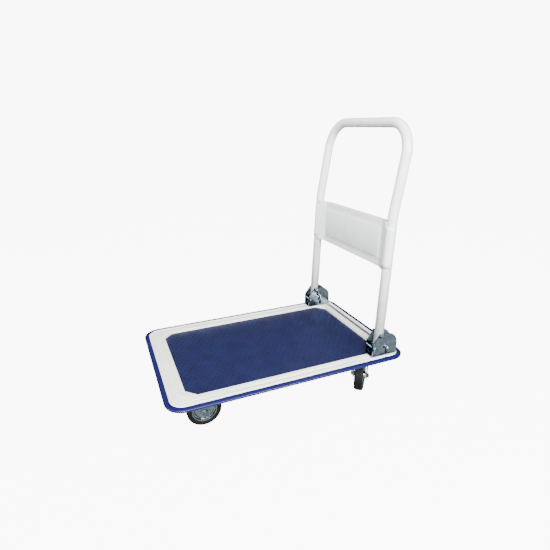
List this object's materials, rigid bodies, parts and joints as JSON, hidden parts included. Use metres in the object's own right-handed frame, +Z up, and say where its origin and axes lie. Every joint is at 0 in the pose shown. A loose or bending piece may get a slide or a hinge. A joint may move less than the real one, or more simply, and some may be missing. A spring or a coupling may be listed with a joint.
{
  "type": "folding platform cart",
  "caption": "Flat platform cart with a pressed steel deck, dotted mat, rim bumper, fold-down tube handle with a panel, fixed front and swivel rear casters.",
  "frame": {"origin": "on the floor, under the middle of the deck", "axes": "+X along the deck towards the handle end, +Y across the deck to the right of a person pushing, +Z up"},
  "size_m": [0.7194, 0.4784, 0.8226],
  "materials": {
    "deck_paint": "satin cream enamel on pressed steel",
    "mat_vinyl": "dark blue vinyl sheet with round dots",
    "bumper_pvc": "glossy ultramarine extruded PVC",
    "zinc_plate": "bright bluish zinc plate on pressed steel",
    "zinc_fastener": "bright zinc plate on bolts and nuts",
    "spring_steel": "zinc-plated spring wire",
    "handle_paint": "glossy white powder coat on steel tube and sheet",
    "bright_rod": "bright drawn and plated steel bar",
    "bush_nylon": "natural nylon sleeve",
    "rim_steel": "zinc-plated pressed steel disc",
    "tyre_rubber": "moulded black rubber"
  },
  "bodies": {
    "platform": {"deck_pan": "deck_paint", "mat": "mat_vinyl", "bumper": "bumper_pvc", "channel_left": "deck_paint", "channel_right": "deck_paint", "bracket_left": "zinc_plate", "bracket_right": "zinc_plate", "bracket_bolts": "zinc_fastener", "stop_pins": "zinc_fastener", "pivot_bolts": "zinc_fastener", "pivot_nuts": "zinc_fastener", "spring_left": "spring_steel", "spring_right": "spring_steel", "caster_bolts": "zinc_fastener", "front_left_fork": "zinc_plate", "front_left_axle": "zinc_fastener", "front_right_fork": "zinc_plate", "front_right_axle": "zinc_fastener", "rear_left_plate": "zinc_plate", "rear_left_kingpin": "zinc_fastener", "rear_right_plate": "zinc_plate", "rear_right_kingpin": "zinc_fastener"},
    "handle": {"handle_tube": "handle_paint", "handle_panel": "handle_paint"},
    "release_bar": {"release_rod": "bright_rod", "release_nuts": "zinc_fastener"},
    "front_left_wheel": {"front_left_bush": "bush_nylon", "front_left_rim": "rim_steel", "front_left_tyre": "tyre_rubber"},
    "rear_left_swivel": {"rear_left_race": "zinc_plate", "rear_left_fork": "zinc_plate", "rear_left_axle": "zinc_fastener"},
    "rear_left_wheel": {"rear_left_bush": "bush_nylon", "rear_left_rim": "rim_steel", "rear_left_tyre": "tyre_rubber"},
    "front_right_wheel": {"front_right_bush": "bush_nylon", "front_right_rim": "rim_steel", "front_right_tyre": "tyre_rubber"},
    "rear_right_swivel": {"rear_right_race": "zinc_plate", "rear_right_fork": "zinc_plate", "rear_right_axle": "zinc_fastener"},
    "rear_right_wheel": {"rear_right_bush": "bush_nylon", "rear_right_rim": "rim_steel", "rear_right_tyre": "tyre_rubber"}
  },
  "joints": [
    {"name": "handle_fold", "type": "hinge", "parent": "platform", "child": "handle", "pos_m": [0.274, 0, 0.211], "axis": [0, -1, 0], "range_deg": [0, 100]},
    {"name": "release_slide", "type": "slide", "parent": "platform", "child": "release_bar", "axis": [0, 0, -1], "range_m": [0, 0.018], "stiffness_N_per_m": 1500, "springref_m": -0.01, "deforming": ["spring_left", "spring_right"]},
    {"name": "front_left_spin", "type": "hinge", "parent": "platform", "child": "front_left_wheel", "pos_m": [-0.245, -0.119, 0.05], "axis": [0, 1, 0], "continuous": true},
    {"name": "front_right_spin", "type": "hinge", "parent": "platform", "child": "front_right_wheel", "pos_m": [-0.245, 0.119, 0.05], "axis": [0, 1, 0], "continuous": true},
    {"name": "rear_left_turn", "type": "hinge", "parent": "platform", "child": "rear_left_swivel", "pos_m": [0.2755, -0.127, 0.11], "axis": [0, 0, 1], "continuous": true},
    {"name": "rear_left_spin", "type": "hinge", "parent": "rear_left_swivel", "child": "rear_left_wheel", "pos_m": [0.25392, -0.15063, 0.05], "axis": [0.7385, -0.6743, 0], "continuous": true},
    {"name": "rear_right_turn", "type": "hinge", "parent": "platform", "child": "rear_right_swivel", "pos_m": [0.2755, 0.127, 0.11], "axis": [0, 0, 1], "continuous": true},
    {"name": "rear_right_spin", "type": "hinge", "parent": "rear_right_swivel", "child": "rear_right_wheel", "pos_m": [0.25392, 0.10337, 0.05], "axis": [0.7385, -0.6743, 0], "continuous": true}
  ]
}
